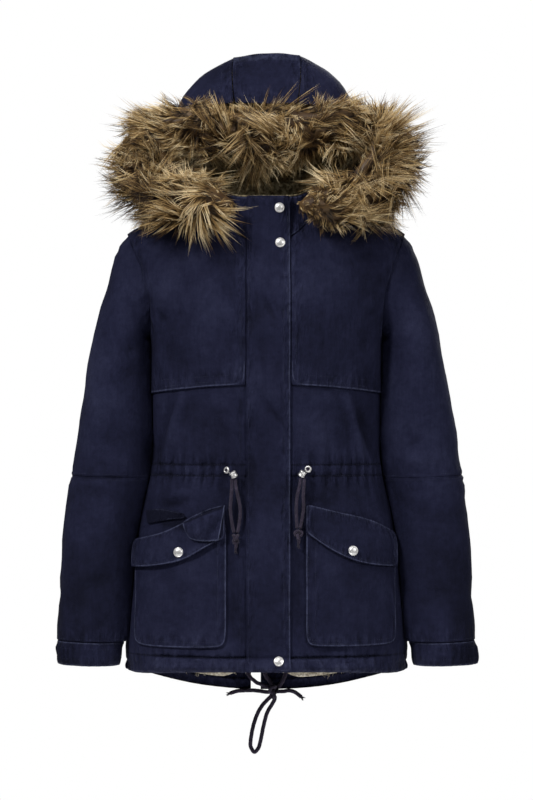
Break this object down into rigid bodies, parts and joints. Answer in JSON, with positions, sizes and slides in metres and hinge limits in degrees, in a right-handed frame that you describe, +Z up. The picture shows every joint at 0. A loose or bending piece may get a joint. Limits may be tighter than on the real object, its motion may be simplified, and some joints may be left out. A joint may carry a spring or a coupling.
{
  "type": "fur trimmed parka",
  "caption": "Hooded winter parka filled out as if worn, with a fur edge round the face, stand collar, snapped placket, flap pockets, waist and hem drawcords and a split back tail.",
  "frame": {"origin": "on the centre plane between the shoulders, at the height of the neck seam's back, where the wearer's shoulders and neck hold the coat up", "axes": "+Z up, -Y towards the front, +X to the wearer's left"},
  "size_m": [0.626, 0.3186, 1.0491],
  "materials": {
    "navy_twill": "washed matt cotton twill",
    "fur": "long tan fur with dark roots and tips",
    "cream_fleece": "cream pile fleece",
    "olive_fleece": "olive pile fleece",
    "silver_snap": "bright nickel",
    "dark_cord": "dark braided cord"
  },
  "bodies": {
    "root": {"front_left": "navy_twill", "front_right": "navy_twill", "back_left": "navy_twill", "back_right": "navy_twill", "back_hem_facing_left": "navy_twill", "back_hem_facing_right": "navy_twill", "back_lining_left": "cream_fleece", "back_lining_right": "cream_fleece", "sleeve_upper_left": "navy_twill", "sleeve_upper_right": "navy_twill", "sleeve_lower_left": "navy_twill", "sleeve_lower_right": "navy_twill", "cuff_left": "navy_twill", "cuff_right": "navy_twill", "collar": "navy_twill", "placket": "navy_twill", "yoke_left": "navy_twill", "yoke_right": "navy_twill", "hood_side_left": "navy_twill", "hood_side_right": "navy_twill", "hood_centre": "navy_twill", "hood_lining_side_left": "olive_fleece", "hood_lining_side_right": "olive_fleece", "hood_lining_centre": "olive_fleece", "fur_trim": "fur", "pocket_left": "navy_twill", "pocket_right": "navy_twill", "flap_left": "navy_twill", "flap_right": "navy_twill", "pocket_mouth_right": "navy_twill", "snap_collar": "silver_snap", "snap_chest": "silver_snap", "snap_hem": "silver_snap", "snap_pocket_left": "silver_snap", "snap_pocket_right": "silver_snap", "eyelet_left": "silver_snap", "eyelet_right": "silver_snap", "ferrule_left": "silver_snap", "ferrule_right": "silver_snap", "waist_cord_left_a": "dark_cord", "waist_cord_left_b": "dark_cord", "waist_cord_right_a": "dark_cord", "waist_cord_right_b": "dark_cord", "waist_knot_left": "dark_cord", "waist_knot_right": "dark_cord", "hem_cord_right": "dark_cord", "hem_cord_middle": "dark_cord", "hem_cord_left": "dark_cord", "hem_loop": "dark_cord", "hem_tail_left": "dark_cord", "hem_tail_right": "dark_cord", "hem_knot": "dark_cord"}
  },
  "joints": []
}
